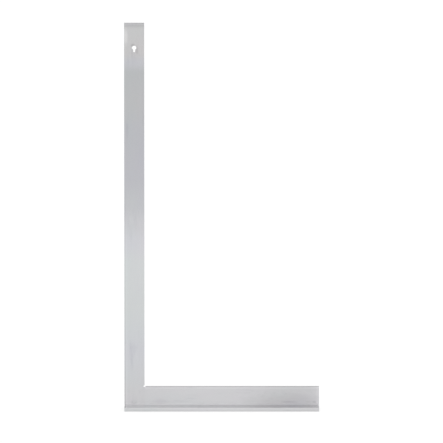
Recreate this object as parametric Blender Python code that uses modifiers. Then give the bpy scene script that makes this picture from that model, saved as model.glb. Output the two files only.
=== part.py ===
"""A steel square with a stop rail. A long blade and a short arm of the same flat bar are halved
into each other and riveted at the corner. A wider rail, with a shallow groove that the bars sit
in, is screwed and pinned along the arm's outer edge. Its two ledges hook over the edge of the work.

Metres, +Z up. The square stands on the rail's flat underside: the origin is the middle of that
face, the arm runs along X, and the blade stands at the -X end."""

import math

import bmesh
import bpy
from mathutils import Matrix, Vector

# Overall sizes, from outer edge to outer edge
SQUARE_HEIGHT = 0.600
SQUARE_LENGTH = 0.300

# The flat bar of both legs
BAR_WIDTH = 0.031
BAR_THICKNESS = 0.005
BAR_CHAMFER = 0.0008

# The stop rail, and the groove along its middle that the bars are let into
RAIL_WIDTH = 0.040
RAIL_THICKNESS = 0.006
RAIL_CHAMFER = 0.0005
GROOVE_DEPTH = 0.0008

# The drilled relief at the inner corner
RELIEF_DIAMETER = 0.0032

# The keyhole for hanging, near the blade's free end
HOLE_DIAMETER = 0.0068
HOLE_FROM_TOP = 0.0385
SLOT_WIDTH = 0.0028
SLOT_DROP = 0.0060

# Corner rivets, with a countersunk head on each face of the bars
RIVET_DIAMETER = 0.0040
RIVET_HEAD_DIAMETER = 0.0060
RIVET_HEAD_DEPTH = 0.0010
RIVET_INSET = 0.0070

# Countersunk screws, up through the rail into the arm's edge
SCREW_COUNT = 6
SCREW_DIAMETER = 0.0030
SCREW_LENGTH = 0.0120
SCREW_HEAD_DIAMETER = 0.0060
SCREW_HEAD_HEIGHT = 0.0017
SCREW_HEAD_LIP = 0.0002
SCREW_TIP_CHAMFER = 0.0004
SCREW_RECESS = 0.0004
SOCKET_ACROSS_FLATS = 0.0020
SOCKET_DEPTH = 0.0011
SCREW_FROM_BLADE = 0.0110
SCREW_FROM_END = 0.0180

# Dowel pins, one in the first gap between screws and one in the last
DOWEL_DIAMETER = 0.0030
DOWEL_LENGTH = 0.0120
DOWEL_CHAMFER = 0.0004
DOWEL_RECESS = 0.0006

# Clearance between pieces that touch or fit, and how far a cutter runs past a face
FIT_GAP = 0.0003
CUTTER_OVERRUN = 0.0010

TURNED_STEPS = 32

# Places that follow from the sizes
LEFT = -SQUARE_LENGTH / 2
RIGHT = SQUARE_LENGTH / 2
FRONT = -BAR_THICKNESS / 2
REAR = BAR_THICKNESS / 2
BAR_BOTTOM = RAIL_THICKNESS - GROOVE_DEPTH + FIT_GAP
ARM_TOP = BAR_BOTTOM + BAR_WIDTH
BLADE_INNER = LEFT + BAR_WIDTH
BLADE_MIDDLE = LEFT + BAR_WIDTH / 2
HOLE_HEIGHT = SQUARE_HEIGHT - HOLE_FROM_TOP

PLATED_STEEL = ("plated_steel", (0.60, 0.61, 0.63), 0.34)
RIVET_STEEL = ("rivet_steel", (0.56, 0.57, 0.59), 0.38)
SCREW_STEEL = ("screw_steel", (0.42, 0.42, 0.43), 0.42)
PIN_STEEL = ("pin_steel", (0.66, 0.66, 0.67), 0.25)


def clear_scene():
    for old in list(bpy.data.objects):
        bpy.data.objects.remove(old, do_unlink=True)


def new_collection(name, parent):
    made = bpy.data.collections.new(name)
    parent.children.link(made)
    return made


def metal(finish):
    name, colour, roughness = finish
    made = bpy.data.materials.get(name) or bpy.data.materials.new(name)
    made.use_nodes = True
    shader = made.node_tree.nodes["Principled BSDF"]
    shader.inputs["Base Color"].default_value = (*colour, 1.0)
    shader.inputs["Metallic"].default_value = 1.0
    shader.inputs["Roughness"].default_value = roughness
    return made


def object_from(bm, name, collection, place=(0, 0, 0)):
    """A mesh object at place, from a bmesh whose points are measured from there."""
    mesh = bpy.data.meshes.new(name)
    bm.to_mesh(mesh)
    bm.free()
    made = bpy.data.objects.new(name, mesh)
    made.location = place
    collection.objects.link(made)
    return made


def finish_part(part, finish):
    part.parent = square
    part.data.materials.append(metal(finish))


def make_cutter(cutter):
    cutter.hide_render = True
    cutter.display_type = "WIRE"
    return cutter


def cut(part, cutters):
    """Takes every solid of a collection of cutters away from the part."""
    modifier = part.modifiers.new(cutters.name, "BOOLEAN")
    modifier.operation = "DIFFERENCE"
    modifier.solver = "EXACT"
    modifier.operand_type = "COLLECTION"
    modifier.collection = cutters


def box(low, high):
    """A bmesh box between two corners, measured from its own centre, and that centre."""
    low, high = Vector(low), Vector(high)
    bm = bmesh.new()
    bmesh.ops.create_cube(bm, size=1.0)
    bmesh.ops.scale(bm, vec=high - low, verts=bm.verts)
    return bm, (low + high) / 2


def box_cutter(name, low, high, collection):
    bm, centre = box(low, high)
    return make_cutter(object_from(bm, name, collection, centre))


def cross_hole_cutter(name, diameter, x, z, collection):
    """A round cutter along Y, through both faces of the bars."""
    bm = bmesh.new()
    bmesh.ops.create_cone(
        bm,
        cap_ends=True,
        segments=TURNED_STEPS,
        radius1=diameter / 2,
        radius2=diameter / 2,
        depth=BAR_THICKNESS + 2 * CUTTER_OVERRUN,
    )
    bmesh.ops.rotate(bm, cent=(0, 0, 0), matrix=Matrix.Rotation(math.radians(90), 3, "X"), verts=bm.verts)
    return make_cutter(object_from(bm, name, collection, (x, 0, z)))


def turned(name, profile, collection, place, axis="Z"):
    """A turned solid: a profile of (radius, height) points from top to bottom, spun by a Screw."""
    bm = bmesh.new()
    points = [bm.verts.new((radius, 0, height)) for radius, height in profile]
    for above, below in zip(points, points[1:]):
        bm.edges.new((above, below))
    part = object_from(bm, name, collection, place)
    spin = part.modifiers.new("Turning", "SCREW")
    spin.steps = TURNED_STEPS
    spin.render_steps = TURNED_STEPS
    spin.use_merge_vertices = True
    spin.merge_threshold = 0.00001
    spin.use_smooth_shade = True
    if axis == "Y":
        part.rotation_euler = (math.radians(90), 0, 0)
    return part


def bar(name, low, high, meets_other_bar):
    """A flat bar with broken edges. Edges for which meets_other_bar is true stay square, as does
    the bar's end face along the rail."""
    bm, centre = box(low, high)
    bmesh.ops.translate(bm, vec=centre, verts=bm.verts)
    for corner, normal in (((0, 0, ARM_TOP), (0, 0, 1)), ((BLADE_INNER, 0, 0), (1, 0, 0))):
        everything = bm.verts[:] + bm.edges[:] + bm.faces[:]
        bmesh.ops.bisect_plane(bm, geom=everything, plane_co=corner, plane_no=normal)
    bm.normal_update()
    broken = []
    for edge in bm.edges:
        middle = (edge.verts[0].co + edge.verts[1].co) / 2
        across_the_foot = abs(middle.y) < FIT_GAP and middle.z < BAR_BOTTOM + FIT_GAP
        flat = edge.calc_face_angle() < math.radians(1)
        if not (flat or across_the_foot or meets_other_bar(middle)):
            broken.append(edge)
    bmesh.ops.bevel(bm, geom=broken, offset=BAR_CHAMFER, segments=1, profile=0.5, affect="EDGES")
    bmesh.ops.translate(bm, vec=-centre, verts=bm.verts)
    return object_from(bm, name, parts, centre)


def make_corner_cutters():
    """The relief at the inner corner and the three rivet holes, which go through both bars."""
    cutters = new_collection("Corner cutters", cutter_collection)
    cross_hole_cutter("relief_cutter", RELIEF_DIAMETER, BLADE_INNER, ARM_TOP, cutters)
    for number, (x, z) in enumerate(rivet_places, start=1):
        outer = RIVET_HEAD_DIAMETER / 2 + FIT_GAP
        inner = RIVET_DIAMETER / 2 + FIT_GAP
        past = REAR + CUTTER_OVERRUN
        neck = REAR - RIVET_HEAD_DEPTH
        profile = [(0, past), (outer, past), (outer, REAR), (inner, neck)]
        profile += [(radius, -height) for radius, height in reversed(profile)]
        make_cutter(turned(f"rivet_cutter_{number}", profile, cutters, (x, 0, z), axis="Y"))
    return cutters


def make_blade(corner_cutters):
    """The long leg. Its foot is halved from behind, so the front half runs down to the rail."""
    blade = bar(
        "blade",
        (LEFT, FRONT, BAR_BOTTOM),
        (BLADE_INNER, REAR, SQUARE_HEIGHT),
        lambda p: p.x > BLADE_INNER - FIT_GAP and p.z < ARM_TOP,
    )
    cutters = new_collection("Blade cutters", cutter_collection)
    box_cutter(
        "blade_lap_cutter",
        (LEFT - CUTTER_OVERRUN, -FIT_GAP / 2, BAR_BOTTOM - CUTTER_OVERRUN),
        (BLADE_INNER + CUTTER_OVERRUN, REAR + CUTTER_OVERRUN, ARM_TOP + FIT_GAP),
        cutters,
    )
    cross_hole_cutter("hole_cutter", HOLE_DIAMETER, BLADE_MIDDLE, HOLE_HEIGHT, cutters)
    cross_hole_cutter("slot_end_cutter", SLOT_WIDTH, BLADE_MIDDLE, HOLE_HEIGHT - SLOT_DROP, cutters)
    box_cutter(
        "slot_cutter",
        (BLADE_MIDDLE - SLOT_WIDTH / 2, FRONT - CUTTER_OVERRUN, HOLE_HEIGHT - SLOT_DROP),
        (BLADE_MIDDLE + SLOT_WIDTH / 2, REAR + CUTTER_OVERRUN, HOLE_HEIGHT),
        cutters,
    )
    cut(blade, cutters)
    cut(blade, corner_cutters)
    finish_part(blade, PLATED_STEEL)


def make_fixing_cutters():
    """The countersunk screw holes and the dowel holes, through the rail and into the arm."""
    cutters = new_collection("Fixing cutters", cutter_collection)
    for number, x in enumerate(screw_places, start=1):
        head = SCREW_HEAD_DIAMETER / 2 + FIT_GAP
        shank = SCREW_DIAMETER / 2 + FIT_GAP
        end = SCREW_LENGTH + FIT_GAP
        mouth = -SCREW_RECESS - CUTTER_OVERRUN
        profile = [(0, end), (shank, end), (shank, SCREW_HEAD_HEIGHT), (head, SCREW_HEAD_LIP)]
        profile += [(head, mouth), (0, mouth)]
        make_cutter(turned(f"screw_cutter_{number}", profile, cutters, (x, 0, SCREW_RECESS)))
    for number, x in enumerate(dowel_places, start=1):
        radius = DOWEL_DIAMETER / 2 + FIT_GAP
        end = DOWEL_LENGTH + FIT_GAP
        mouth = -DOWEL_RECESS - CUTTER_OVERRUN
        profile = [(0, end), (radius, end), (radius, mouth), (0, mouth)]
        make_cutter(turned(f"dowel_cutter_{number}", profile, cutters, (x, 0, DOWEL_RECESS)))
    return cutters


def make_arm(corner_cutters, fixing_cutters):
    """The short leg, on edge on the rail. Its end is halved from the front, behind the blade."""
    arm = bar(
        "arm",
        (LEFT, FRONT, BAR_BOTTOM),
        (RIGHT, REAR, ARM_TOP),
        lambda p: p.z > ARM_TOP - FIT_GAP and p.x < BLADE_INNER,
    )
    cutters = new_collection("Arm cutters", cutter_collection)
    box_cutter(
        "arm_lap_cutter",
        (LEFT - CUTTER_OVERRUN, FRONT - CUTTER_OVERRUN, BAR_BOTTOM - CUTTER_OVERRUN),
        (BLADE_INNER + FIT_GAP, FIT_GAP / 2, ARM_TOP + CUTTER_OVERRUN),
        cutters,
    )
    cut(arm, cutters)
    cut(arm, corner_cutters)
    cut(arm, fixing_cutters)
    finish_part(arm, PLATED_STEEL)


def make_stop_rail(fixing_cutters):
    """The wide flat bar along the arm's outer edge. Its groove parts the front ledge from the rear."""
    bm, centre = box((LEFT, -RAIL_WIDTH / 2, 0), (RIGHT, RAIL_WIDTH / 2, RAIL_THICKNESS))
    rail = object_from(bm, "stop_rail", parts, centre)
    edges = rail.modifiers.new("Broken edges", "BEVEL")
    edges.width = RAIL_CHAMFER
    edges.segments = 1
    cutters = new_collection("Rail cutters", cutter_collection)
    box_cutter(
        "groove_cutter",
        (LEFT - CUTTER_OVERRUN, FRONT - FIT_GAP, RAIL_THICKNESS - GROOVE_DEPTH),
        (RIGHT + CUTTER_OVERRUN, REAR + FIT_GAP, RAIL_THICKNESS + CUTTER_OVERRUN),
        cutters,
    )
    cut(rail, cutters)
    cut(rail, fixing_cutters)
    finish_part(rail, PLATED_STEEL)


def make_rivets():
    """Three rivets, spread into their countersinks and ground flush with both faces."""
    head = RIVET_HEAD_DIAMETER / 2
    shank = RIVET_DIAMETER / 2
    profile = [(0, REAR), (head, REAR), (shank, REAR - RIVET_HEAD_DEPTH)]
    profile += [(radius, -height) for radius, height in reversed(profile)]
    for number, (x, z) in enumerate(rivet_places, start=1):
        rivet = turned(f"corner_rivet_{number}", profile, parts, (x, 0, z), axis="Y")
        finish_part(rivet, RIVET_STEEL)


def make_screws():
    """Countersunk socket screws, with their heads just under the rail's underside."""
    head = SCREW_HEAD_DIAMETER / 2
    shank = SCREW_DIAMETER / 2
    profile = [
        (0, SCREW_LENGTH),
        (shank - SCREW_TIP_CHAMFER, SCREW_LENGTH),
        (shank, SCREW_LENGTH - SCREW_TIP_CHAMFER),
        (shank, SCREW_HEAD_HEIGHT),
        (head, SCREW_HEAD_LIP),
        (head, 0),
        (0, 0),
    ]
    for number, x in enumerate(screw_places, start=1):
        screw = turned(f"rail_screw_{number}", profile, parts, (x, 0, SCREW_RECESS))
        sockets = new_collection(f"Socket cutters {number}", cutter_collection)
        bm = bmesh.new()
        across_corners = SOCKET_ACROSS_FLATS / math.cos(math.radians(30))
        bmesh.ops.create_cone(
            bm,
            cap_ends=True,
            segments=6,
            radius1=across_corners / 2,
            radius2=across_corners / 2,
            depth=2 * SOCKET_DEPTH,
        )
        make_cutter(object_from(bm, f"socket_cutter_{number}", sockets, (x, 0, SCREW_RECESS)))
        cut(screw, sockets)
        finish_part(screw, SCREW_STEEL)


def make_dowels():
    """Plain pins with chamfered ends, which keep the rail in line with the arm."""
    radius = DOWEL_DIAMETER / 2
    profile = [
        (0, DOWEL_LENGTH),
        (radius - DOWEL_CHAMFER, DOWEL_LENGTH),
        (radius, DOWEL_LENGTH - DOWEL_CHAMFER),
        (radius, DOWEL_CHAMFER),
        (radius - DOWEL_CHAMFER, 0),
        (0, 0),
    ]
    for number, x in enumerate(dowel_places, start=1):
        finish_part(turned(f"dowel_pin_{number}", profile, parts, (x, 0, DOWEL_RECESS)), PIN_STEEL)


clear_scene()
parts = new_collection("Steel square", bpy.context.scene.collection)
cutter_collection = new_collection("Cutters", bpy.context.scene.collection)
square = bpy.data.objects.new("steel_square", None)
parts.objects.link(square)

# One rivet low in the middle of the lap and two high up, one by each of its edges
rivet_places = [
    (BLADE_MIDDLE, BAR_BOTTOM + RIVET_INSET),
    (LEFT + RIVET_INSET, ARM_TOP - RIVET_INSET),
    (BLADE_INNER - RIVET_INSET, ARM_TOP - RIVET_INSET),
]
first_screw = BLADE_INNER + SCREW_FROM_BLADE
screw_step = (RIGHT - SCREW_FROM_END - first_screw) / (SCREW_COUNT - 1)
screw_places = [first_screw + screw_step * i for i in range(SCREW_COUNT)]
dowel_places = [first_screw + screw_step / 2, RIGHT - SCREW_FROM_END - screw_step / 2]

corner_holes = make_corner_cutters()
fixing_holes = make_fixing_cutters()
make_blade(corner_holes)
make_arm(corner_holes, fixing_holes)
make_stop_rail(fixing_holes)
make_rivets()
make_screws()
make_dowels()
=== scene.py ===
import math

import bmesh
import bpy
from mathutils import Matrix, Vector


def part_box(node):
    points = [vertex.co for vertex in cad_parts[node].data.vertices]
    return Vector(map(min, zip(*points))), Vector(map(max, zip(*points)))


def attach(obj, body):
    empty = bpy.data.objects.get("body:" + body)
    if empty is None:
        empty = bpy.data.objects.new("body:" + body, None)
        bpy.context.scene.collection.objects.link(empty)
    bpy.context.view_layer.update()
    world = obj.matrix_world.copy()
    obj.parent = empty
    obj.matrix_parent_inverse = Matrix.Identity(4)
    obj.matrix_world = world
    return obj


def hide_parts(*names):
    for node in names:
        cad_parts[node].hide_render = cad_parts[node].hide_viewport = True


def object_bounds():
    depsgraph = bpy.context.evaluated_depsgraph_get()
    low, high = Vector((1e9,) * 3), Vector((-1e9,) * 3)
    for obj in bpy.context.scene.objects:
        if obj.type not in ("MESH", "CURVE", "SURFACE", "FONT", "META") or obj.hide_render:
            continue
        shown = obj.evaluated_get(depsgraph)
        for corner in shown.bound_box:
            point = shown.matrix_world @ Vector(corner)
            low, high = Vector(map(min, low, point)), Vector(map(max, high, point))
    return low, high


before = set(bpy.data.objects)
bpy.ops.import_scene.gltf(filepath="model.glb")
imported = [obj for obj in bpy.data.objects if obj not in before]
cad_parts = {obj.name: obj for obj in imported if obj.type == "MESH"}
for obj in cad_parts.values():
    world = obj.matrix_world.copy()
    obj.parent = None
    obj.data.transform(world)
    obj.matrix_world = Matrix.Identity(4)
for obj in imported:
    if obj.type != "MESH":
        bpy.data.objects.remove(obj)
cad_low, cad_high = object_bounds()
scene = bpy.context.scene

# ---------------------------------------------------------------------------------------------
# Studio. The square stands on a wide sheet of white card, which is mostly self-lit to the camera
# so that it stays white up to the steel. A long lens looks down at it a little from in front, in
# a pale room that is brighter on the right and in front than overhead.

VIEW_DISTANCE = 16.0
VIEW_PITCH = math.radians(7.5)
VIEW_BELOW_MIDDLE = 0.0075
VIEW_LEFT_OF_MIDDLE = 0.0004
LENS_LENGTH = 845.2
CARD_HALF_SIDE = 60.0
CARD_DROP = 0.0002
CARD_COLOUR = (0.9, 0.9, 0.9, 1)
CARD_SELF_LIT = 0.8
ROOM_LEFT_AND_RIGHT = (0.70, 1.10)
ROOM_REAR_AND_FRONT = (0.9, 1.54)
ROOM_LEVEL_AND_OVERHEAD = (1.0, 0.6)
OVERHEAD_STRENGTH = 2.2
OVERHEAD_SPREAD = math.radians(120)

camera_data = bpy.data.cameras.new("long_lens")
camera_data.lens = LENS_LENGTH
camera_data.clip_end = 200.0
camera = bpy.data.objects.new("long_lens", camera_data)
scene.collection.objects.link(camera)
aim = (cad_low + cad_high) / 2 - Vector((VIEW_LEFT_OF_MIDDLE, 0, VIEW_BELOW_MIDDLE))
back = Vector((0, -math.cos(VIEW_PITCH), math.sin(VIEW_PITCH)))
camera.location = aim + VIEW_DISTANCE * back
camera.rotation_euler = back.to_track_quat("Z", "Y").to_euler()
scene.camera = camera
scene.view_settings.view_transform = "Standard"


def add_node(tree, kind, **settings):
    """A shader node with some of its settings made."""
    node = tree.nodes.new("ShaderNode" + kind)
    for setting, value in settings.items():
        setattr(node, setting, value)
    return node


def join(tree, outlet, *inlets):
    """Links one outlet to one or more inlets."""
    for inlet in inlets:
        tree.links.new(outlet, inlet)


def remap(tree, source, target=(0.0, 1.0), smooth=False):
    """A node that carries one span of numbers over to another."""
    node = add_node(tree, "MapRange", interpolation_type="SMOOTHSTEP" if smooth else "LINEAR")
    for title, value in zip(("From Min", "From Max", "To Min", "To Max"), (*source, *target)):
        node.inputs[title].default_value = value
    return node


def room_light():
    """A pale room: plain white where it is seen, and graded sideways, forwards and upwards where
    it lights the steel or is mirrored in it."""
    world = bpy.data.worlds.new("pale_room")
    world.use_nodes = True
    tree = world.node_tree
    tree.nodes.clear()
    place = add_node(tree, "TexCoord")
    parts = add_node(tree, "SeparateXYZ")
    sideways = remap(tree, (-1.0, 1.0), ROOM_LEFT_AND_RIGHT, smooth=True)
    forward = remap(tree, (0.2, -1.0), ROOM_REAR_AND_FRONT, smooth=True)
    upward = remap(tree, (0.0, 0.7), ROOM_LEVEL_AND_OVERHEAD, smooth=True)
    level = add_node(tree, "Math", operation="MULTIPLY")
    graded = add_node(tree, "Math", operation="MULTIPLY")
    path = add_node(tree, "LightPath")
    seen = add_node(tree, "Mix", data_type="FLOAT")
    seen.inputs["B"].default_value = 1.0
    glow = add_node(tree, "Background")
    glow.inputs["Color"].default_value = (1.0, 1.0, 1.0, 1.0)
    end = add_node(tree, "OutputWorld")
    join(tree, place.outputs["Generated"], parts.inputs[0])
    join(tree, parts.outputs["X"], sideways.inputs["Value"])
    join(tree, parts.outputs["Y"], forward.inputs["Value"])
    join(tree, parts.outputs["Z"], upward.inputs["Value"])
    join(tree, sideways.outputs[0], level.inputs[0])
    join(tree, forward.outputs[0], level.inputs[1])
    join(tree, level.outputs[0], graded.inputs[0])
    join(tree, upward.outputs[0], graded.inputs[1])
    join(tree, path.outputs["Is Camera Ray"], seen.inputs["Factor"])
    join(tree, graded.outputs[0], seen.inputs["A"])
    join(tree, seen.outputs["Result"], glow.inputs["Strength"])
    join(tree, glow.outputs[0], end.inputs["Surface"])
    scene.world = world


room_light()

card_mesh = bmesh.new()
bmesh.ops.create_grid(card_mesh, x_segments=1, y_segments=1, size=CARD_HALF_SIDE)
bmesh.ops.translate(card_mesh, vec=(0, 0, cad_low.z - CARD_DROP), verts=card_mesh.verts)
card_data = bpy.data.meshes.new("white_card")
card_mesh.to_mesh(card_data)
card_mesh.free()
card = bpy.data.objects.new("white_card", card_data)
scene.collection.objects.link(card)
card_paint = bpy.data.materials.new("white_card")
card_paint.use_nodes = True
card_tree = card_paint.node_tree
card_shader = card_tree.nodes["Principled BSDF"]
card_shader.inputs["Base Color"].default_value = CARD_COLOUR
card_shader.inputs["Roughness"].default_value = 0.9
card_shader.inputs["Specular IOR Level"].default_value = 0.0
burnt_out = add_node(card_tree, "Emission")
card_path = add_node(card_tree, "LightPath")
card_share = add_node(card_tree, "Math", operation="MULTIPLY")
card_share.inputs[1].default_value = CARD_SELF_LIT
card_mix = add_node(card_tree, "MixShader")
join(card_tree, card_path.outputs["Is Camera Ray"], card_share.inputs[0])
join(card_tree, card_share.outputs[0], card_mix.inputs[0])
join(card_tree, card_shader.outputs[0], card_mix.inputs[1])
join(card_tree, burnt_out.outputs[0], card_mix.inputs[2])
join(card_tree, card_mix.outputs[0], card_tree.nodes["Material Output"].inputs["Surface"])
card_data.materials.append(card_paint)

overhead_data = bpy.data.lights.new("overhead", "SUN")
overhead_data.energy = OVERHEAD_STRENGTH
overhead_data.angle = OVERHEAD_SPREAD
overhead = bpy.data.objects.new("overhead", overhead_data)
overhead.visible_glossy = False
scene.collection.objects.link(overhead)

# ---------------------------------------------------------------------------------------------
# Blade. The long leg of the square, a cold-drawn flat bar of mild steel, ground on its faces and
# zinc plated. Its foot is milled to half thickness for the lap joint, its inner corner is
# relieved with a drill, and a keyhole near the free end takes a nail.

blade_low, blade_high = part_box("blade")
arm_low, arm_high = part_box("arm")
LAP_PLANE = (blade_low.y + blade_high.y) / 2
SEAM = 0.00004
RELIEF_RADIUS = 0.0016
KEYHOLE_BELOW_END = 0.0385
KEYHOLE_RADIUS = 0.0034
KEYHOLE_SLOT_RADIUS = 0.0014
KEYHOLE_SLOT_DROP = 0.0060
KEYHOLE_EDGE = 0.0002
RIVET_HOLE_RADIUS = 0.00203
RIVET_COUNTERSINK = 0.0010
GROOVE_CLEARANCE = 0.00026
OUTER_EDGE = 0.0009
INNER_EDGE = 0.0002
ARC_STEP = 7.5
ROUND_SIDES = 48
TOUCHING = 1e-5
WELD = 1e-6
SHARP_CORNER = math.radians(40)
SHADING_BREAK = math.radians(50)
keyhole_x = (blade_low.x + blade_high.x) / 2
keyhole_z = blade_high.z - KEYHOLE_BELOW_END
rivet_nodes = sorted(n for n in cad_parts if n.startswith("corner_rivet"))
rivet_places = [sum(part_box(node), Vector()) / 2 for node in rivet_nodes]


def scribe(bm, depth, start, *strokes):
    """A closed line on the plane y = depth, seen from the front. A stroke of two numbers runs
    straight to that x and z, and one of three turns about that x and z by so many degrees."""
    before = set(bm.edges)
    first = bm.verts.new((start[0], depth, start[1]))
    pen = first
    for stroke in strokes:
        if len(stroke) == 2:
            end = bm.verts.new((stroke[0], depth, stroke[1]))
            bm.edges.new((pen, end))
            pen = end
            continue
        centre_x, centre_z, degrees = stroke
        turned = bmesh.ops.spin(
            bm,
            geom=[pen],
            cent=(centre_x, depth, centre_z),
            axis=(0, -1, 0),
            angle=math.radians(degrees),
            steps=max(2, round(abs(degrees) / ARC_STEP)),
        )
        pen = [v for v in turned["geom_last"] if isinstance(v, bmesh.types.BMVert)][0]
    bmesh.ops.weld_verts(bm, targetmap={pen: first})
    return [edge for edge in bm.edges if edge not in before]


def once(things):
    """The same things in the same order, each only once."""
    return list(dict.fromkeys(things))


def ring(bm, centre, radius, axis):
    """A round line about a point, square to the axis."""
    turn = Vector((0, 0, 1)).rotation_difference(Vector(axis)).to_matrix().to_4x4()
    made = bmesh.ops.create_circle(
        bm, segments=ROUND_SIDES, radius=radius, matrix=Matrix.Translation(centre) @ turn
    )
    return once(edge for vert in made["verts"] for edge in vert.link_edges)


def fill(bm, lines, normal):
    """Makes a flat face inside the outer line, with the inner lines left open."""
    bmesh.ops.triangle_fill(bm, use_beauty=True, use_dissolve=True, edges=lines, normal=normal)


def thicken(bm, faces, push):
    """Pushes faces out into a solid and gives the moved faces back."""
    region = faces + once(edge for face in faces for edge in face.edges)
    made = bmesh.ops.extrude_face_region(bm, geom=region)
    verts = [v for v in made["geom"] if isinstance(v, bmesh.types.BMVert)]
    bmesh.ops.translate(bm, vec=push, verts=verts)
    return [f for f in made["geom"] if isinstance(f, bmesh.types.BMFace)]


def corners_where(bm, test):
    """The sharp edges whose middle and direction pass a test."""
    found = []
    for edge in bm.edges:
        if edge.is_manifold and edge.calc_face_angle() > SHARP_CORNER:
            middle = (edge.verts[0].co + edge.verts[1].co) / 2
            if test(middle, (edge.verts[1].co - edge.verts[0].co).normalized()):
                found.append(edge)
    return found


def on_face(middle, line, front, rear):
    """True of an edge that lies in a bar's front or rear face."""
    runs_through = abs(line.y) > 0.5
    return min(abs(middle.y - front), abs(middle.y - rear)) < TOUCHING and not runs_through


def break_edges(bm, edges, width, segments):
    """Rounds edges in so many steps, or chamfers them in one."""
    bmesh.ops.bevel(
        bm,
        geom=edges,
        offset=width,
        offset_type="OFFSET",
        segments=segments,
        profile=0.5,
        affect="EDGES",
        material=-1,
    )


def finished_piece(bm, name, material, slot, *nodes):
    """Turns the mesh into a piece of the square that stands for its CAD nodes."""
    bmesh.ops.remove_doubles(bm, verts=bm.verts, dist=WELD)
    bmesh.ops.recalc_face_normals(bm, faces=bm.faces)
    data = bpy.data.meshes.new(name)
    bm.to_mesh(data)
    bm.free()
    data.shade_smooth()
    data.set_sharp_from_angle(angle=SHADING_BREAK)
    data.materials.append(material)
    piece = bpy.data.objects.new(name, data)
    scene.collection.objects.link(piece)
    weighted = piece.modifiers.new("flat_faces_stay_flat", "WEIGHTED_NORMAL")
    weighted.keep_sharp = True
    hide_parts(*nodes)
    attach(piece, "root")


def new_group(name, inlets, outlets):
    """An empty shader node group with its sockets."""
    group = bpy.data.node_groups.new(name, "ShaderNodeTree")
    for title, kind, value in inlets:
        socket = group.interface.new_socket(title, in_out="INPUT", socket_type="NodeSocket" + kind)
        socket.default_value = value
    for title, kind in outlets:
        group.interface.new_socket(title, in_out="OUTPUT", socket_type="NodeSocket" + kind)
    return group, group.nodes.new("NodeGroupInput"), group.nodes.new("NodeGroupOutput")


def ground_grain():
    """Fine lines that a grinding belt leaves along a bar, whose length is the vector's x."""
    group, start, end = new_group(
        "ground_grain",
        [("Vector", "Vector", (0, 0, 0)), ("Lines per Metre", "Float", 600.0)],
        [("Lines", "Float")],
    )
    wide = add_node(group, "CombineXYZ")
    wide.inputs["X"].default_value = 7.0
    narrow = add_node(group, "VectorMath", operation="MULTIPLY")
    wide_lines = add_node(group, "VectorMath", operation="MULTIPLY")
    coarse = add_node(group, "TexNoise")
    coarse.inputs["Scale"].default_value = 1.0
    coarse.inputs["Detail"].default_value = 2.0
    fine = add_node(group, "TexNoise")
    fine.inputs["Scale"].default_value = 1.0
    fine.inputs["Detail"].default_value = 3.0
    narrow.inputs[1].default_value = (4.0, 4.0, 4.0)
    both = add_node(group, "Mix", data_type="FLOAT")
    both.inputs["Factor"].default_value = 0.5
    join(group, start.outputs["Lines per Metre"], wide.inputs["Y"], wide.inputs["Z"])
    join(group, start.outputs["Vector"], wide_lines.inputs[0])
    join(group, wide.outputs[0], wide_lines.inputs[1])
    join(group, wide_lines.outputs[0], coarse.inputs["Vector"], narrow.inputs[0])
    join(group, narrow.outputs[0], fine.inputs["Vector"])
    join(group, coarse.outputs[0], both.inputs["A"])
    join(group, fine.outputs[0], both.inputs["B"])
    join(group, both.outputs["Result"], end.inputs["Lines"])
    return group


def plating_cloud():
    """Slow patches where the zinc's clear blue passivation came out thicker or thinner."""
    group, start, end = new_group(
        "plating_cloud",
        [("Vector", "Vector", (0, 0, 0)), ("Patches per Metre", "Float", 14.0)],
        [("Tint", "Color"), ("Patches", "Float")],
    )
    stretch = add_node(group, "VectorMath", operation="MULTIPLY")
    stretch.inputs[1].default_value = (1.0, 2.2, 2.2)
    patches = add_node(group, "TexNoise")
    patches.inputs["Detail"].default_value = 3.0
    patches.inputs["Roughness"].default_value = 0.45
    tint = add_node(group, "ValToRGB")
    stops = tint.color_ramp
    stops.interpolation = "B_SPLINE"
    stops.elements[0].position = 0.30
    stops.elements[0].color = (0.975, 1.0, 0.995, 1)
    stops.elements[1].position = 0.72
    stops.elements[1].color = (0.972, 0.972, 1.005, 1)
    stops.elements.new(0.43).color = (0.99, 1.0, 1.005, 1)
    stops.elements.new(0.56).color = (1.0, 0.995, 1.0, 1)
    join(group, start.outputs["Vector"], stretch.inputs[0])
    join(group, start.outputs["Patches per Metre"], patches.inputs["Scale"])
    join(group, stretch.outputs[0], patches.inputs["Vector"])
    join(group, patches.outputs[0], tint.inputs[0], end.inputs["Patches"])
    join(group, tint.outputs["Color"], end.inputs["Tint"])
    return group


# How far from the edge the dull and bright lines lie: painted shade and highlight as well as wear.
DULL_SHADE_LINE = (0.0006, 0.0018)
BRIGHT_SHEEN_LINE = (0.0024, 0.0044)


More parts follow.
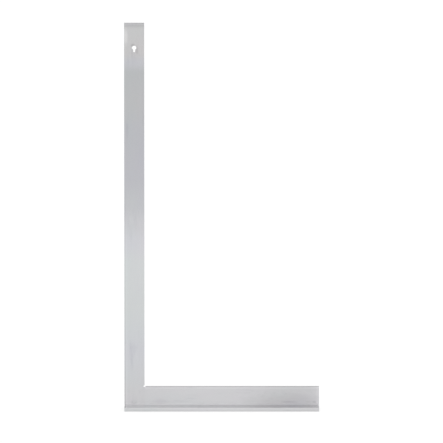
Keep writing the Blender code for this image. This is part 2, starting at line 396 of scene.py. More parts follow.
def lit_and_worn_edges():
    """A bar's two long edges, at two values of the vector's z: a dull line along the very edge and a
    bright line beside it, painted shade and a painted highlight of the broken edge as well as thick
    plating and rubbing. Both come and go, and they fade out along the bar between two values of the
    vector's x."""
    group, start, end = new_group(
        "lit_and_worn_edges",
        [
            ("Vector", "Vector", (0, 0, 0)),
            ("Low Edge", "Float", 0.0),
            ("High Edge", "Float", 1.0),
            ("Full At", "Float", 0.0),
            ("Gone At", "Float", 1.0),
        ],
        [("Dull", "Float"), ("Bright", "Float")],
    )
    parts = add_node(group, "SeparateXYZ")
    fading = remap(group, (0.0, 1.0), (1.5, 0.0))
    patchy = add_node(group, "Math", operation="MULTIPLY")
    from_low = add_node(group, "Math", operation="SUBTRACT")
    from_high = add_node(group, "Math", operation="SUBTRACT")
    nearest = add_node(group, "Math", operation="MINIMUM")
    dull = remap(group, DULL_SHADE_LINE, (1.0, 0.0), smooth=True)
    beside = remap(group, BRIGHT_SHEEN_LINE, (1.0, 0.0), smooth=True)
    bright = add_node(group, "Math", operation="SUBTRACT")
    uneven = add_node(group, "TexNoise")
    uneven.inputs["Scale"].default_value = 22.0
    uneven.inputs["Detail"].default_value = 3.0
    dull_shade_here = add_node(group, "Math", operation="MULTIPLY")
    bright_sheen_here = add_node(group, "Math", operation="MULTIPLY")
    join(group, start.outputs["Vector"], parts.inputs[0], uneven.inputs["Vector"])
    join(group, parts.outputs["X"], fading.inputs["Value"])
    join(group, start.outputs["Full At"], fading.inputs["From Min"])
    join(group, start.outputs["Gone At"], fading.inputs["From Max"])
    join(group, uneven.outputs[0], patchy.inputs[0])
    join(group, fading.outputs[0], patchy.inputs[1])
    join(group, parts.outputs["Z"], from_low.inputs[0], from_high.inputs[1])
    join(group, start.outputs["Low Edge"], from_low.inputs[1])
    join(group, start.outputs["High Edge"], from_high.inputs[0])
    join(group, from_low.outputs[0], nearest.inputs[0])
    join(group, from_high.outputs[0], nearest.inputs[1])
    join(group, nearest.outputs[0], dull.inputs["Value"], beside.inputs["Value"])
    join(group, beside.outputs[0], bright.inputs[0])
    join(group, dull.outputs[0], bright.inputs[1], dull_shade_here.inputs[0])
    join(group, bright.outputs[0], bright_sheen_here.inputs[0])
    join(group, patchy.outputs[0], dull_shade_here.inputs[1], bright_sheen_here.inputs[1])
    join(group, dull_shade_here.outputs[0], end.inputs["Dull"])
    join(group, bright_sheen_here.outputs[0], end.inputs["Bright"])
    return group


def handling_marks():
    """Faint rubs and finger marks, longer along the bar than across it."""
    group, start, end = new_group(
        "handling_marks",
        [("Vector", "Vector", (0, 0, 0)), ("Marks per Metre", "Float", 30.0)],
        [("Marks", "Float")],
    )
    stretch = add_node(group, "VectorMath", operation="MULTIPLY")
    stretch.inputs[1].default_value = (0.5, 3.0, 3.0)
    rubs = add_node(group, "TexNoise")
    rubs.inputs["Detail"].default_value = 5.0
    rubs.inputs["Roughness"].default_value = 0.6
    picked = remap(group, (0.56, 0.74), smooth=True)
    join(group, start.outputs["Vector"], stretch.inputs[0])
    join(group, start.outputs["Marks per Metre"], rubs.inputs["Scale"])
    join(group, stretch.outputs[0], rubs.inputs["Vector"])
    join(group, rubs.outputs[0], picked.inputs["Value"])
    join(group, picked.outputs[0], end.inputs["Marks"])
    return group


def soft_patch():
    """A ragged, soft-edged patch about a centre. Its spread is its half size each way."""
    group, start, end = new_group(
        "soft_patch",
        [
            ("Vector", "Vector", (0, 0, 0)),
            ("Centre", "Vector", (0, 0, 0)),
            ("Spread", "Vector", (1, 1, 1)),
            ("Raggedness", "Float", 0.8),
        ],
        [("Patch", "Float")],
    )
    offset = add_node(group, "VectorMath", operation="SUBTRACT")
    scaled = add_node(group, "VectorMath", operation="DIVIDE")
    reach = add_node(group, "VectorMath", operation="LENGTH")
    noise = add_node(group, "TexNoise")
    noise.inputs["Scale"].default_value = 160.0
    noise.inputs["Detail"].default_value = 3.0
    centred = add_node(group, "Math", operation="SUBTRACT")
    centred.inputs[1].default_value = 0.5
    ragged = add_node(group, "Math", operation="MULTIPLY_ADD")
    mask = remap(group, (0.3, 1.1), (1.0, 0.0), smooth=True)
    join(group, start.outputs["Vector"], offset.inputs[0], noise.inputs["Vector"])
    join(group, start.outputs["Centre"], offset.inputs[1])
    join(group, offset.outputs[0], scaled.inputs[0])
    join(group, start.outputs["Spread"], scaled.inputs[1])
    join(group, scaled.outputs[0], reach.inputs[0])
    join(group, noise.outputs[0], centred.inputs[0])
    join(group, centred.outputs[0], ragged.inputs[0])
    join(group, start.outputs["Raggedness"], ragged.inputs[1])
    join(group, reach.outputs["Value"], ragged.inputs[2])
    join(group, ragged.outputs[0], mask.inputs["Value"])
    join(group, mask.outputs[0], end.inputs["Patch"])
    return group


GRAIN = ground_grain()
CLOUD = plating_cloud()
LIT_AND_WORN_EDGES = lit_and_worn_edges()
MARKS = handling_marks()
PATCH = soft_patch()


def tinted(tree, colour, tint, share=1.0):
    """Multiplies a colour by a tint, wholly or by a share, and gives the new colour's outlet.
    Each of the three is a value or an outlet."""
    mix = add_node(tree, "Mix", data_type="RGBA", blend_type="MULTIPLY")
    for title, given in (("Factor", share), ("A", colour), ("B", tint)):
        if isinstance(given, bpy.types.NodeSocket):
            join(tree, given, mix.inputs[title])
        else:
            mix.inputs[title].default_value = given if title == "Factor" else (*given, 1)
    return mix.outputs["Result"]


def painted_light_and_mark_patches(tree, place, colour, patches):
    """Tints a colour inside each patch, given as (centre, spread, tint), and gives it back. Some
    patches are painted light and shade, others smudges and rubs.
    """
    for centre, spread, tint in patches:
        patch = add_node(tree, "Group", node_tree=PATCH)
        patch.inputs["Centre"].default_value = centre
        patch.inputs["Spread"].default_value = spread
        join(tree, place.outputs["Object"], patch.inputs["Vector"])
        colour = tinted(tree, colour, tint, patch.outputs["Patch"])
    return colour


NO_EDGES = (-1.0, 1.0)
WORN_AND_LIT_ALL_ALONG = (10.0, 20.0)
GRAIN_CONTRAST = 0.05
RUB_TINT = (0.9, 0.9, 0.92)
# Tints of the dull and bright edge lines, which paint shade and highlight as well as wear.
DULL_SHADE_TINT = (0.86, 0.86, 0.86)
BRIGHT_SHEEN_TINT = (1.10, 1.10, 1.10)
PLATING_ROUGHNESS = (0.10, 0.19)
RUB_ROUGHNESS = 0.06
GRAIN_STRENGTH = 0.25
GRAIN_DEPTH = 0.00003


def plated_steel(
    name, colour, turn, light_and_shade_span, light_and_shade_stops, edges=NO_EDGES, edge_light_and_wear_span=WORN_AND_LIT_ALL_ALONG, patches=()
):
    """Ground and zinc-plated bar. The turn lays the bar's length along the patterns' x, and the light
    and shade stops paint light and shade into its colour along that length. The edges are its two long
    sides after the turn, and their painted shade, highlight and wear are full at one place along it
    and gone at another."""
    material = bpy.data.materials.new(name)
    material.use_nodes = True
    tree = material.node_tree
    shader = tree.nodes["Principled BSDF"]
    shader.inputs["Metallic"].default_value = 1.0
    place = add_node(tree, "TexCoord")
    turned = add_node(tree, "Mapping")
    turned.inputs["Rotation"].default_value = turn
    parts = add_node(tree, "SeparateXYZ")
    along = remap(tree, light_and_shade_span)
    tone = add_node(tree, "ValToRGB")
    tone.color_ramp.interpolation = "EASE"
    while len(tone.color_ramp.elements) < len(light_and_shade_stops):
        tone.color_ramp.elements.new(0.5)
    for element, (where, *shade) in zip(tone.color_ramp.elements, light_and_shade_stops):
        element.position = (where - light_and_shade_span[0]) / (light_and_shade_span[1] - light_and_shade_span[0])
        element.color = (*(shade if len(shade) == 3 else shade * 3), 1)
    grain = add_node(tree, "Group", node_tree=GRAIN)
    cloud = add_node(tree, "Group", node_tree=CLOUD)
    edge_light_and_wear = add_node(tree, "Group", node_tree=LIT_AND_WORN_EDGES)
    edge_light_and_wear.inputs["Low Edge"].default_value = edges[0]
    edge_light_and_wear.inputs["High Edge"].default_value = edges[1]
    edge_light_and_wear.inputs["Full At"].default_value = edge_light_and_wear_span[0]
    edge_light_and_wear.inputs["Gone At"].default_value = edge_light_and_wear_span[1]
    marks = add_node(tree, "Group", node_tree=MARKS)
    join(tree, place.outputs["Object"], turned.inputs["Vector"])
    join(tree, turned.outputs[0], parts.inputs[0], grain.inputs[0], cloud.inputs[0])
    join(tree, turned.outputs[0], edge_light_and_wear.inputs[0], marks.inputs[0])
    join(tree, parts.outputs["X"], along.inputs["Value"])
    join(tree, along.outputs[0], tone.inputs[0])

    lined = remap(tree, (0.0, 1.0), (1.0 - GRAIN_CONTRAST, 1.0 + GRAIN_CONTRAST))
    join(tree, grain.outputs["Lines"], lined.inputs["Value"])
    # The stops paint light and shade along the bar: reflections that brighten and darken it, with
    # slight tints.
    surface = tinted(tree, colour, tone.outputs["Color"])
    surface = tinted(tree, surface, cloud.outputs["Tint"])
    surface = tinted(tree, surface, lined.outputs[0])
    surface = tinted(tree, surface, RUB_TINT, marks.outputs["Marks"])
    # Painted shade and highlight along the edges, together with their wear.
    surface = tinted(tree, surface, DULL_SHADE_TINT, edge_light_and_wear.outputs["Dull"])
    surface = tinted(tree, surface, BRIGHT_SHEEN_TINT, edge_light_and_wear.outputs["Bright"])
    # Painted light and shade in some patches, smudges and rubs in others.
    surface = painted_light_and_mark_patches(tree, place, surface, patches)
    join(tree, surface, shader.inputs["Base Color"])

    matt = remap(tree, (0.0, 1.0), PLATING_ROUGHNESS)
    duller = add_node(tree, "Math", operation="MULTIPLY_ADD")
    duller.inputs[1].default_value = RUB_ROUGHNESS
    join(tree, cloud.outputs["Patches"], matt.inputs["Value"])
    join(tree, marks.outputs["Marks"], duller.inputs[0])
    join(tree, matt.outputs[0], duller.inputs[2])
    join(tree, duller.outputs[0], shader.inputs["Roughness"])

    scored = add_node(tree, "Bump")
    scored.inputs["Strength"].default_value = GRAIN_STRENGTH
    scored.inputs["Distance"].default_value = GRAIN_DEPTH
    join(tree, grain.outputs["Lines"], scored.inputs["Height"])
    join(tree, scored.outputs[0], shader.inputs["Normal"])
    return material


def lapped_blade():
    """The blade's solid: a half-thickness foot, and the full bar above the arm's top edge."""
    bm = bmesh.new()
    left, inner = blade_low.x, blade_high.x
    foot = blade_low.z - GROOVE_CLEARANCE
    lap_top = arm_high.z
    front, rear = blade_low.y, blade_high.y
    upper_line = scribe(
        bm,
        front,
        (left, lap_top),
        (inner - RELIEF_RADIUS, lap_top),
        (inner, lap_top, -90),
        (inner, blade_high.z),
        (left, blade_high.z),
        (left, lap_top),
    )
    slot_z = keyhole_z - KEYHOLE_SLOT_DROP
    neck = math.degrees(math.asin(KEYHOLE_SLOT_RADIUS / KEYHOLE_RADIUS))
    neck_z = keyhole_z - KEYHOLE_RADIUS * math.cos(math.radians(neck))
    keyhole_line = scribe(
        bm,
        front,
        (keyhole_x - KEYHOLE_SLOT_RADIUS, slot_z),
        (keyhole_x, slot_z, 180),
        (keyhole_x + KEYHOLE_SLOT_RADIUS, neck_z),
        (keyhole_x, keyhole_z, 360 - 2 * neck),
        (keyhole_x - KEYHOLE_SLOT_RADIUS, slot_z),
    )
    fill(bm, upper_line + keyhole_line, (0, -1, 0))
    foot_line = scribe(
        bm,
        front,
        (left, foot),
        (inner, foot),
        (inner, lap_top - RELIEF_RADIUS),
        (inner, lap_top, -90),
        (left, lap_top),
        (left, foot),
    )
    for place in rivet_places:
        foot_line += ring(bm, (place.x, front, place.z), RIVET_HOLE_RADIUS, (0, -1, 0))
    fill(bm, foot_line, (0, -1, 0))
    bmesh.ops.remove_doubles(bm, verts=bm.verts, dist=WELD)
    half = thicken(bm, bm.faces[:], (0, LAP_PLANE - SEAM / 2 - front, 0))
    upper = [face for face in half if face.calc_center_median().z > lap_top]
    thicken(bm, upper, (0, rear - LAP_PLANE + SEAM / 2, 0))
    bmesh.ops.recalc_face_normals(bm, faces=bm.faces)

    def rim_of_keyhole(middle, line):
        keyhole_middle = Vector((keyhole_x, keyhole_z - KEYHOLE_SLOT_DROP / 2))
        near = (middle.xz - keyhole_middle).length < KEYHOLE_RADIUS + KEYHOLE_SLOT_DROP
        return near and on_face(middle, line, front, rear)

    def rim_of_rivet(middle, line):
        near = min((middle.xz - place.xz).length for place in rivet_places)
        return near < RIVET_HOLE_RADIUS + TOUCHING and middle.y < front + TOUCHING

    def outer_edges(middle, line):
        outside = min(abs(middle.x - left), abs(middle.z - blade_high.z)) < TOUCHING
        return outside and on_face(middle, line, front, rear)

    def inner_edges(middle, line):
        inside = abs(middle.x - inner) < TOUCHING and middle.z > lap_top
        return inside and on_face(middle, line, front, rear)

    break_edges(bm, corners_where(bm, rim_of_keyhole), KEYHOLE_EDGE, segments=2)
    break_edges(bm, corners_where(bm, rim_of_rivet), RIVET_COUNTERSINK, segments=1)
    break_edges(bm, corners_where(bm, outer_edges), OUTER_EDGE, segments=3)
    break_edges(bm, corners_where(bm, inner_edges), INNER_EDGE, segments=3)
    return bm


# Only the ruling edge is worn, most near the foot, and its dull and bright lines are painted shade and
# highlight as well as wear. The patches are painted shade by the keyhole, where its walls fall dark, a
# painted reflection down the top left, a smudge near the foot and a painted highlight just above the
# rail.
EDGE_LIGHT_AND_WEAR_INSET = 0.0010
SKIN = 0.004

blade_steel = plated_steel(
    "blade_plating",
    colour=(0.49, 0.491, 0.501),
    turn=(0, math.radians(90), 0),
    edges=(NO_EDGES[0], -blade_low.x - EDGE_LIGHT_AND_WEAR_INSET),
    edge_light_and_wear_span=(0.05, 0.40),
    light_and_shade_span=(0.0, blade_high.z),
    # Painted light and shade along the blade: brighter low down, darker higher up, and a painted dark
    # band with a lit rim at the top end.
    light_and_shade_stops=[
        (0.025, 1.02, 1.01, 1.01),
        (0.090, 1.02, 1.03, 1.05),
        (0.165, 1.05, 1.08, 1.06),
        (0.227, 1.07, 1.09, 1.08),
        (0.258, 1.06, 1.05, 1.08),
        (0.289, 1.00, 1.00, 1.01),
        (0.320, 0.91, 0.92, 0.93),
        (0.360, 0.86, 0.86, 0.89),
        (0.429, 0.84, 0.845, 0.87),
        (0.476, 0.85, 0.85, 0.85),
        (0.522, 0.83, 0.84, 0.84),
        (0.539, 0.93, 0.92, 0.95),
        (0.553, 0.97, 0.94, 0.93),
        (0.591, 0.96, 0.96, 0.94),
        (0.597, 0.80, 0.80, 0.79),
        (0.5993, 1.05, 1.05, 1.05),
    ],
    patches=[
        # Painted shade of the keyhole's walls, above it to the left and beside it to the right.
        (
            (keyhole_x - 0.0023, blade_low.y, keyhole_z + 0.0037),
            (0.0038, SKIN, 0.0034),
            (0.80, 0.80, 0.80),
        ),
        (
            (keyhole_x + 0.0043, blade_low.y, keyhole_z - 0.0043),
            (0.0024, SKIN, 0.0080),
            (0.85, 0.85, 0.85),
        ),
        # A painted reflection down the top left of the ruling edge.
        (
            (blade_low.x + 0.0020, blade_low.y, blade_high.z - 0.0200),
            (0.0046, SKIN, 0.0170),
            (1.16, 1.16, 1.16),
        ),
        ((keyhole_x - 0.0010, blade_low.y, 0.0122), (0.0055, SKIN, 0.0036), (0.86, 0.86, 0.87)),
        # A painted highlight along the foot, just above the rail.
        ((keyhole_x + 0.0005, blade_low.y, 0.0078), (0.0600, SKIN, 0.0030), (1.09, 1.09, 1.09)),
    ],
)
finished_piece(lapped_blade(), "square_blade", blade_steel, "plated_steel", "blade")

# ---------------------------------------------------------------------------------------------
# Arm. The short leg, of the same ground and plated bar. Its left end is milled to half thickness
# from the front and lies behind the blade's foot. Its right end is sawn and dressed square, and
# its lower edge is drilled for the rail's screws and dowels.

SHOULDER_GAP = SEAM
SCREW_HOLE_RADIUS = 0.00155
DOWEL_HOLE_RADIUS = 0.00152
HOLE_PAST_END = 0.0006
screw_nodes = sorted(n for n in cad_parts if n.startswith("rail_screw"))
dowel_nodes = sorted(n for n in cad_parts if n.startswith("dowel_pin"))
screw_places = [sum(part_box(node), Vector()) / 2 for node in screw_nodes]
dowel_places = [sum(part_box(node), Vector()) / 2 for node in dowel_nodes]
screw_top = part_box(screw_nodes[0])[1].z
dowel_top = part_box(dowel_nodes[0])[1].z


def faces_along(face, way):
    """True of a face that looks straight along a way."""
    return face.normal.dot(Vector(way)) > 0.99


def reopen(bm, faces, lines, normal):
    """Makes the flat faces one again, with an opening inside each of the lines."""
    edges = once(edge for face in faces for edge in face.edges)
    shared = [edge for edge in edges if all(face in faces for face in edge.link_faces)]
    border = [edge for edge in edges if edge not in shared]
    bmesh.ops.delete(bm, geom=faces, context="FACES_ONLY")
    bmesh.ops.delete(bm, geom=shared, context="EDGES")
    fill(bm, border + lines, normal)


def bore(bm, line, centre, steps):
    """Draws a round line on through steps of radius and height, and gives the last line back."""
    for radius, height in steps:
        grown = bmesh.ops.extrude_edge_only(bm, edges=line)
        verts = [v for v in grown["geom"] if isinstance(v, bmesh.types.BMVert)]
        line = [e for e in grown["geom"] if isinstance(e, bmesh.types.BMEdge) and e.is_boundary]
        for vert in verts:
            across = (vert.co - centre).xy.normalized() * radius
            vert.co = Vector((centre.x + across.x, centre.y + across.y, height))
    return line


def lapped_arm():
    """The arm's solid: a half-thickness tongue behind the blade's foot, then the full bar."""
    bm = bmesh.new()
    left, right = arm_low.x, arm_high.x
    shoulder = blade_high.x + SHOULDER_GAP
    bottom = arm_low.z - GROOVE_CLEARANCE
    top = arm_high.z
    front, rear = arm_low.y, arm_high.y
    tongue_top = top - SHOULDER_GAP
    lost_turn = math.asin(SHOULDER_GAP / RELIEF_RADIUS)
    relief_foot = top - RELIEF_RADIUS * math.cos(lost_turn)
    relief_turn = -90 + math.degrees(lost_turn)
    full_line = scribe(
        bm,
        rear,
        (shoulder, bottom),
        (right, bottom),
        (right, top),
        (blade_high.x + RELIEF_RADIUS, top),
        (blade_high.x, top, relief_turn),
        (shoulder, bottom),
    )
    fill(bm, full_line, (0, 1, 0))
    tongue_line = scribe(
        bm,
        rear,
        (left, bottom),
        (shoulder, bottom),
        (shoulder, relief_foot),
        (blade_high.x, top, relief_turn),
        (left, tongue_top),
        (left, bottom),
    )
    for place in rivet_places:
        tongue_line += ring(bm, (place.x, rear, place.z), RIVET_HOLE_RADIUS, (0, 1, 0))
    fill(bm, tongue_line, (0, 1, 0))
    bmesh.ops.remove_doubles(bm, verts=bm.verts, dist=WELD)
    half = thicken(bm, bm.faces[:], (0, LAP_PLANE + SEAM / 2 - rear, 0))
    full = [face for face in half if face.calc_center_median().x > shoulder]
    thicken(bm, full, (0, front - LAP_PLANE - SEAM / 2, 0))
    bmesh.ops.recalc_face_normals(bm, faces=bm.faces)

    def rim_of_rivet(middle, line):
        near = min((middle.xz - place.xz).length for place in rivet_places)
        return near < RIVET_HOLE_RADIUS + TOUCHING and middle.y > rear - TOUCHING

    def outer_edges(middle, line):
        at_end = min(abs(middle.x - left), abs(middle.x - right)) < TOUCHING
        return at_end and on_face(middle, line, front, rear)

    def inner_edges(middle, line):
        inside = abs(middle.z - top) < TOUCHING and middle.x > blade_high.x
        return inside and on_face(middle, line, front, rear)

    break_edges(bm, corners_where(bm, rim_of_rivet), RIVET_COUNTERSINK, segments=1)
    holes = [(place, SCREW_HOLE_RADIUS, screw_top) for place in screw_places]
    holes += [(place, DOWEL_HOLE_RADIUS, dowel_top) for place in dowel_places]
    mouths = [ring(bm, (at.x, at.y, bottom), radius, (0, 0, 1)) for at, radius, _ in holes]
    underside = [face for face in bm.faces if faces_along(face, (0, 0, -1))]
    underside = [face for face in underside if face.calc_center_median().x > shoulder]
    reopen(bm, underside, [edge for mouth in mouths for edge in mouth], (0, 0, -1))
    for mouth, (at, radius, end) in zip(mouths, holes):
        bmesh.ops.contextual_create(bm, geom=bore(bm, mouth, at, [(radius, end + HOLE_PAST_END)]))
    break_edges(bm, corners_where(bm, outer_edges), OUTER_EDGE, segments=3)
    break_edges(bm, corners_where(bm, inner_edges), INNER_EDGE, segments=3)
    return bm


# The upper edge is worn all along, and its dull and bright lines are painted shade and highlight as
# well as wear. The patches are a wide painted shade low towards the right end, three dark rubs towards
# the right end, a smudge near the blade and a painted highlight just above the rail.
arm_steel = plated_steel(
    "arm_plating",
    colour=(0.508, 0.504, 0.515),
    turn=(0, 0, 0),
    edges=(NO_EDGES[0], arm_high.z),
    light_and_shade_span=(arm_low.x, arm_high.x),
    # Painted light and shade along the arm: darker towards the right, and a painted highlight on the
    # right end.
    light_and_shade_stops=[
        (-0.15, 1.00),
        (-0.02, 1.02),
        (0.022, 1.01),
        (0.053, 0.985),
        (0.084, 0.945),
        (0.115, 0.925),
        (0.135, 0.94),
        (0.1445, 0.98),
        (0.1475, 1.06),
    ],
    patches=[
        # A wide painted shade, low on the arm towards its right end.
        ((0.1000, arm_low.y, 0.0130), (0.0750, SKIN, 0.0170), (0.90, 0.90, 0.90)),
        ((0.1015, arm_low.y, 0.0124), (0.0150, SKIN, 0.0018), (0.86, 0.85, 0.86)),
        ((0.1325, arm_low.y, 0.0124), (0.0046, SKIN, 0.0016), (0.90, 0.90, 0.90)),
        ((0.1430, arm_low.y, 0.0124), (0.0036, SKIN, 0.0016), (0.86, 0.86, 0.86)),
        ((-0.0940, arm_low.y, 0.0134), (0.0140, SKIN, 0.0050), (0.93, 0.92, 0.94)),
        # A painted highlight along the foot, just above the rail.
        ((0.0150, arm_low.y, 0.0080), (0.6000, SKIN, 0.0020), (1.13, 1.13, 1.13)),
    ],
)
finished_piece(lapped_arm(), "square_arm", arm_steel, "plated_steel", "arm")

# ---------------------------------------------------------------------------------------------
# Stop rail. A wider flat bar under the arm, plated like it. A shallow groove along its middle
# takes the bars' edge, and holes from below take six countersunk screws and two dowels.

rail_low, rail_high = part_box("stop_rail")
GROOVE_HALF_WIDTH = 0.00256
GROOVE_DEPTH = 0.0008
RAIL_EDGE = 0.0003
SCREW_COUNTERSINK = 0.0021


def grooved_rail():
    """The rail's solid, worked up from its flat underside and then drilled through the groove."""
    bm = bmesh.new()
    middle_x = (rail_low.x + rail_high.x) / 2
    size = rail_high - rail_low
    floor_z = rail_high.z - GROOVE_DEPTH
    bmesh.ops.create_grid(
        bm,
        x_segments=1,
        y_segments=1,
        size=0.5,
        matrix=Matrix.Translation((middle_x, 0, rail_low.z)) @ Matrix.Diagonal((size.x, size.y, 1, 1)),
    )
    for side in (-1, 1):
        bmesh.ops.bisect_plane(
            bm,
            geom=bm.faces[:] + bm.edges[:] + bm.verts[:],
            plane_co=(0, side * GROOVE_HALF_WIDTH, 0),
            plane_no=(0, 1, 0),
        )
    tops = thicken(bm, bm.faces[:], (0, 0, floor_z - rail_low.z))
    ledges = [face for face in tops if abs(face.calc_center_median().y) > GROOVE_HALF_WIDTH]
    thicken(bm, ledges, (0, 0, GROOVE_DEPTH))
    bmesh.ops.recalc_face_normals(bm, faces=bm.faces)

    holes = [(at, SCREW_HOLE_RADIUS, SCREW_COUNTERSINK) for at in screw_places]
    holes += [(at, DOWEL_HOLE_RADIUS, 0.0) for at in dowel_places]
    mouths = []
    ends = []
    for at, radius, sink in holes:
        mouths.append(ring(bm, (at.x, at.y, rail_low.z), radius + sink, (0, 0, 1)))
        ends.append(ring(bm, (at.x, at.y, floor_z), radius, (0, 0, 1)))
    underside = [face for face in bm.faces if faces_along(face, (0, 0, -1))]
    groove = [face for face in bm.faces if faces_along(face, (0, 0, 1))]
    groove = [face for face in groove if face.calc_center_median().z < floor_z + TOUCHING]
    reopen(bm, underside, [edge for mouth in mouths for edge in mouth], (0, 0, -1))
    reopen(bm, groove, [edge for end in ends for edge in end], (0, 0, 1))
    for mouth, (at, radius, sink) in zip(mouths, holes):
        cone = [(radius, rail_low.z + sink)] if sink else []
        bore(bm, mouth, at, cone + [(radius, floor_z)])
    bmesh.ops.remove_doubles(bm, verts=bm.verts, dist=WELD)
    bmesh.ops.recalc_face_normals(bm, faces=bm.faces)

    def outside(middle, line):
        at_end = min(abs(middle.x - rail_low.x), abs(middle.x - rail_high.x)) < TOUCHING
        at_side = min(abs(middle.y - rail_low.y), abs(middle.y - rail_high.y)) < TOUCHING
        return at_end or at_side

    break_edges(bm, corners_where(bm, outside), RAIL_EDGE, segments=3)
    return bm


# Its edges aren't worn. The one patch is painted shade on the ledges beside the arm, mostly on the
# front one.
rail_steel = plated_steel(
    "rail_plating",
    colour=(0.57, 0.568, 0.577),
    turn=(math.radians(90), 0, 0),
    light_and_shade_span=(rail_low.x, rail_high.x),
    # Painted shade along the rail, darker towards its right end.
    light_and_shade_stops=[(-0.15, 0.98), (0.0, 1.0), (0.10, 0.95), (0.14, 0.93)],
    # Painted shade on the ledges beside the arm, where the corner falls dark.
    patches=[((0.0500, -0.0060, rail_high.z), (0.2200, 0.0180, 0.0012), (0.75, 0.75, 0.75))],
)
finished_piece(grooved_rail(), "square_rail", rail_steel, "plated_steel", "stop_rail")

# ---------------------------------------------------------------------------------------------
# Corner rivets. Three soft steel rivets through the lap joint, with their heads hammered into
# countersinks on both faces and dressed flush before the square is plated.

RIVET_SHANK_RADIUS = 0.0020
RIVET_HEAD_DEPTH = 0.0010


def turned(bm, centre, axis, profile):
    """A solid of revolution from (distance along the axis, radius) steps between its two ends."""
    side = Vector(axis).orthogonal().normalized()
    line = [bm.verts.new(centre + Vector(axis) * d + side * r) for d, r in profile]
    edges = [bm.edges.new(pair) for pair in zip(line, line[1:])]
    bmesh.ops.spin(
        bm,
        geom=line + edges,
        cent=centre,
        axis=axis,
        angle=2 * math.pi,
        steps=ROUND_SIDES,
        use_merge=True,
    )
    bmesh.ops.remove_doubles(bm, verts=bm.verts, dist=WELD / 10)
    return bm


FASTENER_RUB_TINT = (0.8, 0.8, 0.82)
ROUGHNESS_BELOW = 0.06
ROUGHNESS_ABOVE = 0.10


def fastener_steel(name, colour, roughness):
    """Plated or bare steel for small parts, with rubs and a little uneven in tone and gloss."""
    material = bpy.data.materials.new(name)
    material.use_nodes = True
    tree = material.node_tree
    shader = tree.nodes["Principled BSDF"]
    shader.inputs["Metallic"].default_value = 1.0
    place = add_node(tree, "TexCoord")
    marks = add_node(tree, "Group", node_tree=MARKS)
    marks.inputs["Marks per Metre"].default_value = 400.0
    cloud = add_node(tree, "Group", node_tree=CLOUD)
    cloud.inputs["Patches per Metre"].default_value = 150.0
    matt = remap(tree, (0.0, 1.0), (roughness - ROUGHNESS_BELOW, roughness + ROUGHNESS_ABOVE))
    join(tree, place.outputs["Object"], marks.inputs[0], cloud.inputs[0])
    surface = tinted(tree, colour, cloud.outputs["Tint"])
    surface = tinted(tree, surface, FASTENER_RUB_TINT, marks.outputs["Marks"])
    join(tree, surface, shader.inputs["Base Color"])
    join(tree, cloud.outputs["Patches"], matt.inputs["Value"])
    join(tree, matt.outputs[0], shader.inputs["Roughness"])
    return material


rivet_steel = fastener_steel("rivet_plating", (0.495, 0.493, 0.503), 0.22)
for number, node in enumerate(rivet_nodes, 1):
    low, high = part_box(node)
    half = (high.y - low.y) / 2
    head_radius = RIVET_SHANK_RADIUS + RIVET_HEAD_DEPTH
    rivet = turned(
        bmesh.new(),
        (low + high) / 2,
        Vector((0, 1, 0)),
        [
            (-half, 0.0),
            (-half, head_radius),
            (-half + RIVET_HEAD_DEPTH, RIVET_SHANK_RADIUS),
            (half - RIVET_HEAD_DEPTH, RIVET_SHANK_RADIUS),
            (half, head_radius),
            (half, 0.0),
        ],
    )
    finished_piece(rivet, f"flush_rivet_{number}", rivet_steel, "rivet_steel", node)

# ---------------------------------------------------------------------------------------------
# Rail screws. Six countersunk socket screws, driven up through the rail into the arm's edge,
# with their heads a little below the rail's underside.

SCREW_RADIUS = 0.0015
SCREW_HEAD_RADIUS = 0.0030
SCREW_HEAD_HEIGHT = 0.0017
SCREW_HEAD_LIP = 0.0002
SOCKET_ACROSS_FLATS = 0.0020
SOCKET_DEPTH = 0.0011
SCREW_TIP = 0.0004
THREAD_PITCH = 0.0005
THREAD_DEPTH = 0.00027


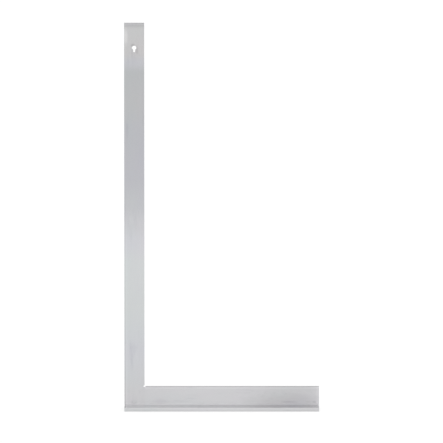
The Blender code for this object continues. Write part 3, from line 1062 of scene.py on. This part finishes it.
def socket_screw(centre, height):
    """A turned screw with a hexagon pressed into its head, which faces down, and its thread as
    plain rings."""
    bm = bmesh.new()
    down = -height / 2
    head_line = ring(bm, centre + Vector((0, 0, down)), SCREW_HEAD_RADIUS, (0, 0, 1))
    hexagon = bmesh.ops.create_circle(
        bm,
        segments=6,
        radius=SOCKET_ACROSS_FLATS / math.sqrt(3),
        matrix=Matrix.Translation(centre + Vector((0, 0, down))),
    )
    socket_line = once(edge for vert in hexagon["verts"] for edge in vert.link_edges)
    fill(bm, head_line + socket_line, (0, 0, -1))
    walls = bmesh.ops.extrude_edge_only(bm, edges=socket_line)
    verts = [v for v in walls["geom"] if isinstance(v, bmesh.types.BMVert)]
    bmesh.ops.translate(bm, vec=(0, 0, SOCKET_DEPTH), verts=verts)
    floor = [e for e in walls["geom"] if isinstance(e, bmesh.types.BMEdge) and e.is_boundary]
    bmesh.ops.contextual_create(bm, geom=floor)
    underside = centre.z + down
    turns = int((height - SCREW_HEAD_HEIGHT - SCREW_TIP) / THREAD_PITCH) - 1
    steps = [
        (SCREW_HEAD_RADIUS, underside + SCREW_HEAD_LIP),
        (SCREW_RADIUS, underside + SCREW_HEAD_HEIGHT),
    ]
    for turn in range(turns):
        root = underside + SCREW_HEAD_HEIGHT + (turn + 0.5) * THREAD_PITCH
        steps += [(SCREW_RADIUS - THREAD_DEPTH, root), (SCREW_RADIUS, root + THREAD_PITCH / 2)]
    steps.append((SCREW_RADIUS, underside + height - SCREW_TIP))
    steps.append((SCREW_RADIUS - SCREW_TIP, underside + height))
    bmesh.ops.contextual_create(bm, geom=bore(bm, head_line, centre, steps))
    return bm


screw_steel = fastener_steel("screw_plating", (0.50, 0.50, 0.51), 0.32)
for number, node in enumerate(screw_nodes, 1):
    low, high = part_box(node)
    screw = socket_screw((low + high) / 2, high.z - low.z)
    finished_piece(screw, f"socket_screw_{number}", screw_steel, "screw_steel", node)

# ---------------------------------------------------------------------------------------------
# Dowel pins. Two hardened and ground pins, pressed up through the rail into the arm, which keep
# the rail from creeping on its screws.

DOWEL_RADIUS = 0.0015
DOWEL_CHAMFER = 0.0004

dowel_steel = fastener_steel("dowel_steel", (0.58, 0.57, 0.56), 0.22)
for number, node in enumerate(dowel_nodes, 1):
    low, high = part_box(node)
    half = (high.z - low.z) / 2
    dowel = turned(
        bmesh.new(),
        (low + high) / 2,
        Vector((0, 0, 1)),
        [
            (-half, 0.0),
            (-half, DOWEL_RADIUS - DOWEL_CHAMFER),
            (-half + DOWEL_CHAMFER, DOWEL_RADIUS),
            (half - DOWEL_CHAMFER, DOWEL_RADIUS),
            (half, DOWEL_RADIUS - DOWEL_CHAMFER),
            (half, 0.0),
        ],
    )
    finished_piece(dowel, f"locating_dowel_{number}", dowel_steel, "pin_steel", node)
